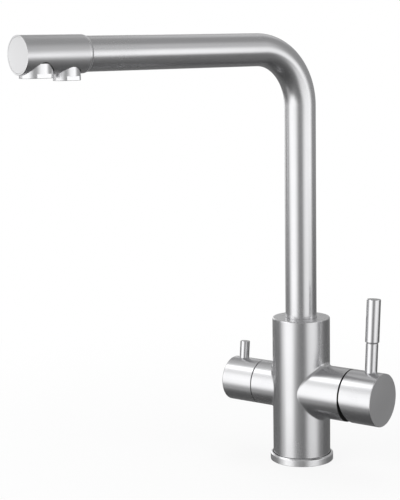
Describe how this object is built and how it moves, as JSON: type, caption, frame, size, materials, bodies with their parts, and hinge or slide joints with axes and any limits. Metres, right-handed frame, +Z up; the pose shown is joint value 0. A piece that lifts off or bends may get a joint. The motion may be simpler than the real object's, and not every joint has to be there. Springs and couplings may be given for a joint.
{
  "type": "three way filtered water tap",
  "caption": "Kitchen tap with a side lever mixer, a filter valve opposite, a tall swivel spout and separate mains and filtered outlets.",
  "frame": {"origin": "centre of the base ring's underside, on the column's axis, where the tap stands on the worktop", "axes": "+Z up along the column; +X along the mixer barrel; -X along the filter barrel; the spout lies along -Y, turned 15 degrees towards -X as pictured"},
  "size_m": [0.1665, 0.2978, 0.3726],
  "materials": {
    "brushed_steel": "fine satin brushing",
    "satin_steel": "smooth satin",
    "bright_steel": "polished",
    "brass": "machined",
    "ceramic": "lapped",
    "white_plastic": "moulded",
    "black_plastic": "moulded",
    "blue_plastic": "moulded",
    "rubber": "matt"
  },
  "bodies": {
    "tap_body": {"base_ring": "brushed_steel", "base_gasket": "rubber", "tap_body": "brushed_steel", "inlet_block": "brass", "upper_bush": "white_plastic", "lower_bush": "white_plastic", "foot_screw": "bright_steel", "filter_nipple": "brass", "cartridge_base": "white_plastic", "cartridge_seals": "rubber", "fixed_disc": "ceramic", "cartridge_housing": "white_plastic", "cartridge_nut": "brass", "mixer_gap_ring": "black_plastic", "headwork_seal": "rubber", "headwork_housing": "brass", "filter_fixed_disc": "ceramic", "headwork_nut": "brass", "filter_gap_ring": "black_plastic"},
    "mixer_carrier": {"cartridge_carrier": "white_plastic", "pivot_pin": "bright_steel"},
    "mixer_disc": {"moving_disc": "ceramic", "disc_driver": "white_plastic"},
    "mixer_handle": {"mixer_hub": "brushed_steel", "lever_rod": "satin_steel", "lever_grip": "satin_steel", "mixer_spindle": "brass", "hub_screw": "bright_steel", "hub_plug": "black_plastic"},
    "filter_handle": {"filter_knob": "brushed_steel", "filter_pin": "satin_steel", "filter_spindle": "brass", "spindle_seal": "rubber", "filter_moving_disc": "ceramic", "knob_screw": "bright_steel"},
    "spout": {"spout_tube": "brushed_steel", "spout_foot": "brass", "foot_seals": "rubber", "spout_head": "brushed_steel", "head_cap": "brushed_steel", "outlet_block": "white_plastic", "main_outlet": "bright_steel", "main_washer": "rubber", "main_aerator": "white_plastic", "filter_outlet": "bright_steel", "filter_washer": "rubber", "filter_insert": "blue_plastic", "filter_hose": "blue_plastic", "hose_clip": "brass"}
  },
  "joints": [
    {"name": "spout_swivel", "type": "hinge", "parent": "tap_body", "child": "spout", "pos_m": [0, 0, 0.1], "axis": [0, 0, 1], "range_deg": [-180, 180]},
    {"name": "mixer_turn", "type": "hinge", "parent": "tap_body", "child": "mixer_carrier", "pos_m": [0.039, 0, 0.0637], "axis": [1, 0, 0], "range_deg": [-40.7, 49.3]},
    {"name": "mixer_lift", "type": "hinge", "parent": "mixer_carrier", "child": "mixer_handle", "pos_m": [0.039, 0, 0.0637], "axis": [0, 0.9972, -0.075], "range_deg": [0, 14]},
    {"name": "disc_slide", "type": "slide", "parent": "mixer_carrier", "child": "mixer_disc", "axis": [0, 0.075, 0.9972], "range_m": [0, 0.0019]},
    {"name": "filter_turn", "type": "hinge", "parent": "tap_body", "child": "filter_handle", "pos_m": [-0.05, 0, 0.0637], "axis": [1, 0, 0], "range_deg": [0, 90]}
  ],
  "couplings": [
    {"joint": "disc_slide", "follows": "mixer_lift", "m_per_rad": 0.00765}
  ]
}
